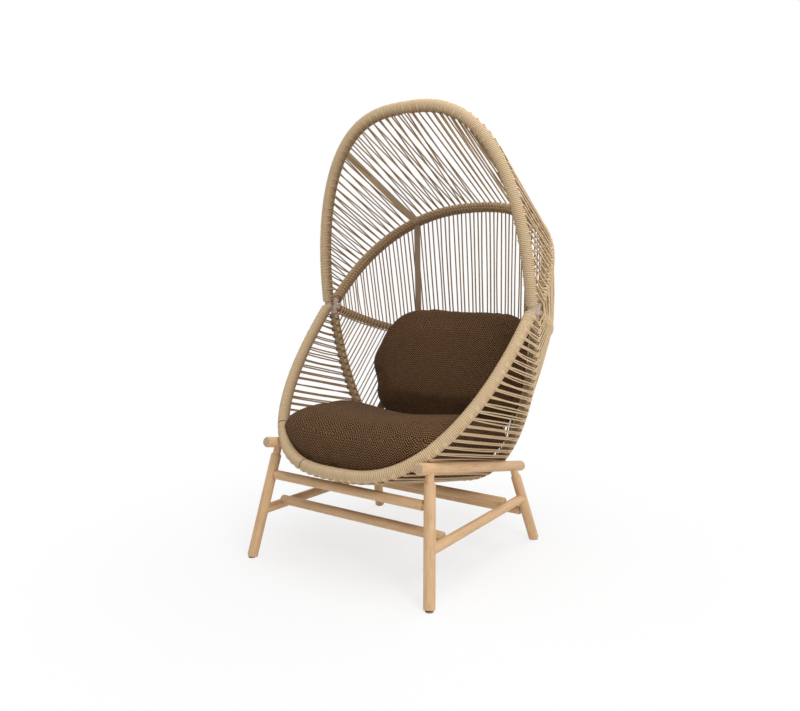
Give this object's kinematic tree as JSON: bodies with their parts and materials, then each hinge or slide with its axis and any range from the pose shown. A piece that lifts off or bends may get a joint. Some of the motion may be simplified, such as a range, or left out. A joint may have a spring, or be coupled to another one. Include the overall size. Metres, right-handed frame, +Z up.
{
  "type": "hooded pod lounge chair",
  "caption": "Hooded pod lounge chair: corded tube shell with a curved canopy on a round-rod teak base, with loose dark brown seat and back cushions.",
  "frame": {"origin": "on the floor under the middle of the bounding box", "axes": "+X towards the right of a viewer who faces the chair, -Y the way the sitter faces, +Z up"},
  "size_m": [0.9138, 0.9668, 1.5598],
  "materials": {
    "cane": "wrapped synthetic cane, semi-matt",
    "coated_tube": "satin powder coat",
    "teak": "sanded, unvarnished",
    "fixing_steel": "plain",
    "glide_plastic": "plain",
    "cushion_fabric": "herringbone weave with tan flecks"
  },
  "bodies": {
    "frame": {"hood_cane": "cane", "seat_cane": "cane", "back_cane": "cane", "lumbar_cane": "cane", "keel_binding": "cane", "hood_arch_tube": "coated_tube", "crown_rib_tube": "coated_tube", "back_rib_tube": "coated_tube", "keel_rib_tube": "coated_tube", "seat_rim_tube": "coated_tube", "pole_hub_right": "coated_tube", "hood_strut_right": "coated_tube", "back_strut_right": "coated_tube", "lumbar_strut_right": "coated_tube", "seat_runner_right": "coated_tube", "pole_hub_left": "coated_tube", "hood_strut_left": "coated_tube", "back_strut_left": "coated_tube", "lumbar_strut_left": "coated_tube", "seat_runner_left": "coated_tube", "front_rod": "teak", "rear_rod": "teak", "front_cross_rod": "teak", "rear_cross_rod": "teak", "rail_right": "teak", "side_rod_right": "teak", "leg_front_right": "teak", "leg_rear_right": "teak", "rail_left": "teak", "side_rod_left": "teak", "leg_front_left": "teak", "leg_rear_left": "teak", "bolt_front_right": "fixing_steel", "bolt_middle_right": "fixing_steel", "bolt_rear_right": "fixing_steel", "cross_nut_front_right": "fixing_steel", "cross_nut_middle_right": "fixing_steel", "cross_nut_rear_right": "fixing_steel", "bolt_front_left": "fixing_steel", "bolt_middle_left": "fixing_steel", "bolt_rear_left": "fixing_steel", "cross_nut_front_left": "fixing_steel", "cross_nut_middle_left": "fixing_steel", "cross_nut_rear_left": "fixing_steel", "glide_front_right": "glide_plastic", "glide_rear_right": "glide_plastic", "glide_front_left": "glide_plastic", "glide_rear_left": "glide_plastic"},
    "seat_pad": {"seat_cushion": "cushion_fabric"},
    "back_pad": {"back_cushion": "cushion_fabric"}
  },
  "joints": [
    {"name": "seat_cushion_lift", "type": "slide", "parent": "frame", "child": "seat_pad", "axis": [0, -0.5299, 0.848], "range_m": [0, 0.5]},
    {"name": "back_cushion_lift", "type": "slide", "parent": "frame", "child": "back_pad", "axis": [0, -0.4384, 0.8988], "range_m": [0, 0.5]}
  ]
}
